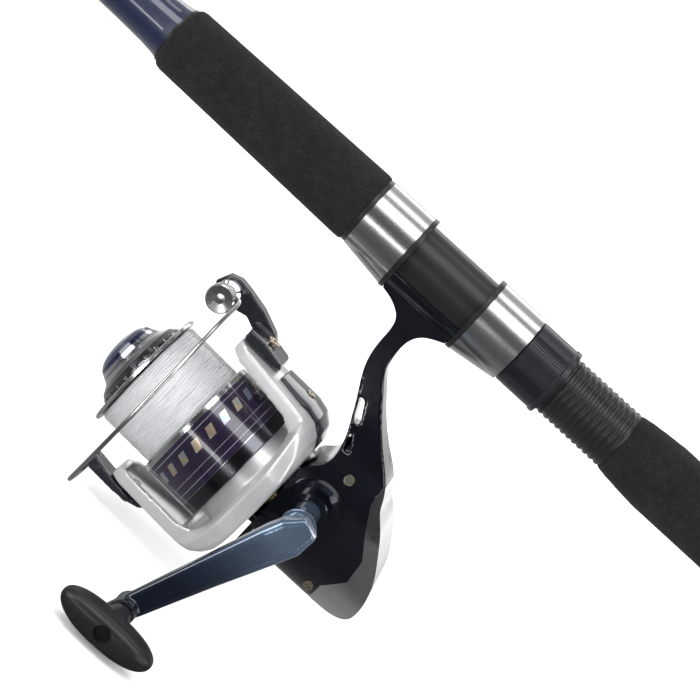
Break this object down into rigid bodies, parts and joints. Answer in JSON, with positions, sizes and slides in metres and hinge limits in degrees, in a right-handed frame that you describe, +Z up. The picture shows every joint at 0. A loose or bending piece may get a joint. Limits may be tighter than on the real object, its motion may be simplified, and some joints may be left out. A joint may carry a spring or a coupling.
{
  "type": "spinning rod and reel",
  "caption": "Two-section saltwater spinning rod with foam grips, line guides and a front-drag spinning reel whose crank turns the rotor and bail round the spool.",
  "frame": {"origin": "on the rod's axis, halfway along the reel foot", "axes": "+X along the rod to its tip, +Z up away from the reel, which hangs below; the crank is on +Y"},
  "size_m": [2.1358, 0.1277, 0.175],
  "materials": {
    "blank": "gloss clear-coated silver grey fibreglass",
    "navy_wrap": "navy thread under clear epoxy",
    "foam": "closed-cell foam grip, matt",
    "butt_rubber": "moulded rubber",
    "seat_plastic": "satin moulded plastic",
    "hood_steel": "polished stainless sleeve",
    "chrome": "polished plating",
    "body_gloss": "deep navy black lacquer",
    "black_gloss": "gloss moulded plastic",
    "rotor_silver": "satin silver paint",
    "arm_navy": "navy metallic lacquer",
    "knob_rubber": "soft satin moulding",
    "steel": "machined stainless",
    "brass": "plated screw",
    "gear_metal": "cast alloy",
    "pinion_brass": "machined brass",
    "line": "clear nylon line",
    "spool_silver": "polished alloy",
    "band": "dark purple foil band",
    "ceramic": "polished ceramic ring",
    "washer": "felt and fibre washers",
    "cap_navy": "navy dome with plated rings"
  },
  "bodies": {
    "rod": {"butt_blank": "blank", "rear_grip": "foam", "butt_cap": "butt_rubber", "fore_grip": "foam", "fore_grip_ring": "black_gloss", "winding_ring": "steel", "fore_winding": "navy_wrap", "seat_tube": "seat_plastic", "front_hood": "hood_steel", "front_hood_liner": "black_gloss", "guide_frame_1": "steel", "guide_rings_butt": "ceramic", "guide_wraps_butt": "navy_wrap", "reel_body": "body_gloss", "side_cover": "body_gloss", "rear_cover": "chrome", "cover_screws": "brass", "handle_cap": "black_gloss", "shaft_bearings": "steel", "pinion_bearing": "steel", "roller_clutch": "steel"},
    "tip_section": {"tip_blank": "blank", "ferrule_wrap": "navy_wrap", "guide_frame_2": "steel", "guide_frame_3": "steel", "guide_frame_4": "steel", "guide_frame_5": "steel", "guide_rings_tip": "ceramic", "guide_wraps_tip": "navy_wrap", "tip_top": "steel"},
    "sliding_hood": {"rear_hood": "hood_steel", "rear_hood_liner": "black_gloss"},
    "seat_nut": {"lock_nut": "seat_plastic"},
    "reverse_switch": {"reverse_lever": "black_gloss"},
    "crank": {"drive_gear": "gear_metal", "handle_arm": "arm_navy", "knob_post": "steel"},
    "handle_grip": {"handle_knob": "knob_rubber"},
    "rotor_assembly": {"rotor": "rotor_silver", "arm_cover": "black_gloss", "arm_screw": "brass", "rotor_nut": "steel", "pinion": "pinion_brass", "bail_spring": "steel"},
    "bail": {"bail_arm": "black_gloss", "bail_lever": "black_gloss", "bail_screws": "brass", "bail_cap": "chrome", "bail_wire": "steel", "roller_screw": "steel"},
    "roller": {"line_roller": "chrome"},
    "spool_shaft": {"main_shaft": "steel", "slider": "gear_metal"},
    "spool_assembly": {"spool": "spool_silver", "spool_band": "band", "line_fill": "line", "drag_washers": "washer"},
    "drag": {"drag_knob": "cap_navy", "drag_sleeve": "black_gloss"},
    "cross_wind": {"worm_shaft": "pinion_brass"}
  },
  "joints": [
    {"name": "tip_slide", "type": "slide", "parent": "rod", "child": "tip_section", "axis": [1, 0, 0], "range_m": [0, 0.095]},
    {"name": "hood_slide", "type": "slide", "parent": "rod", "child": "sliding_hood", "axis": [-1, 0, 0], "range_m": [0, 0.0211]},
    {"name": "nut_turn", "type": "hinge", "parent": "sliding_hood", "child": "seat_nut", "pos_m": [-0.047, 0, 0], "axis": [-1, 0, 0], "range_deg": [0, 2700]},
    {"name": "crank_turn", "type": "hinge", "parent": "rod", "child": "crank", "pos_m": [-0.021, 0, -0.096], "axis": [0, 1, 0], "continuous": true},
    {"name": "knob_turn", "type": "hinge", "parent": "crank", "child": "handle_grip", "pos_m": [0.0056, 0.09, -0.152], "axis": [0, 1, 0], "continuous": true},
    {"name": "rotor_turn", "type": "hinge", "parent": "rod", "child": "rotor_assembly", "pos_m": [0, 0, -0.1088], "axis": [0.9992, 0, 0.0401], "continuous": true},
    {"name": "cross_wind_turn", "type": "hinge", "parent": "rod", "child": "cross_wind", "pos_m": [-0.03465, 0, -0.1182], "axis": [0.9992, 0, 0.0401], "continuous": true},
    {"name": "bail_flip", "type": "hinge", "parent": "rotor_assembly", "child": "bail", "pos_m": [0.03387, 0, -0.10744], "axis": [0.0401, 0, -0.9992], "range_deg": [0, 115]},
    {"name": "roller_turn", "type": "hinge", "parent": "bail", "child": "roller", "pos_m": [0.05783, 0, -0.06114], "axis": [0, 1, 0], "continuous": true},
    {"name": "spool_stroke", "type": "slide", "parent": "rod", "child": "spool_shaft", "axis": [0.9992, 0, 0.0401], "range_m": [-0.001, 0.0165]},
    {"name": "spool_slip", "type": "hinge", "parent": "spool_shaft", "child": "spool_assembly", "pos_m": [0.04496, 0, -0.10699], "axis": [0.9992, 0, 0.0401], "continuous": true},
    {"name": "drag_turn", "type": "hinge", "parent": "spool_shaft", "child": "drag", "pos_m": [0.06795, 0, -0.10607], "axis": [0.9992, 0, 0.0401], "range_deg": [-360, 720]},
    {"name": "reverse_flip", "type": "hinge", "parent": "rod", "child": "reverse_switch", "pos_m": [-0.0097, 0, -0.1214], "axis": [1, 0, 0], "range_deg": [0, 32]}
  ],
  "couplings": [
    {"joint": "rotor_turn", "follows": "crank_turn", "ratio": 5.2},
    {"joint": "cross_wind_turn", "follows": "crank_turn", "ratio": -5.2},
    {"joint": "hood_slide", "follows": "nut_turn", "m_per_rad": 0.00044563}
  ]
}
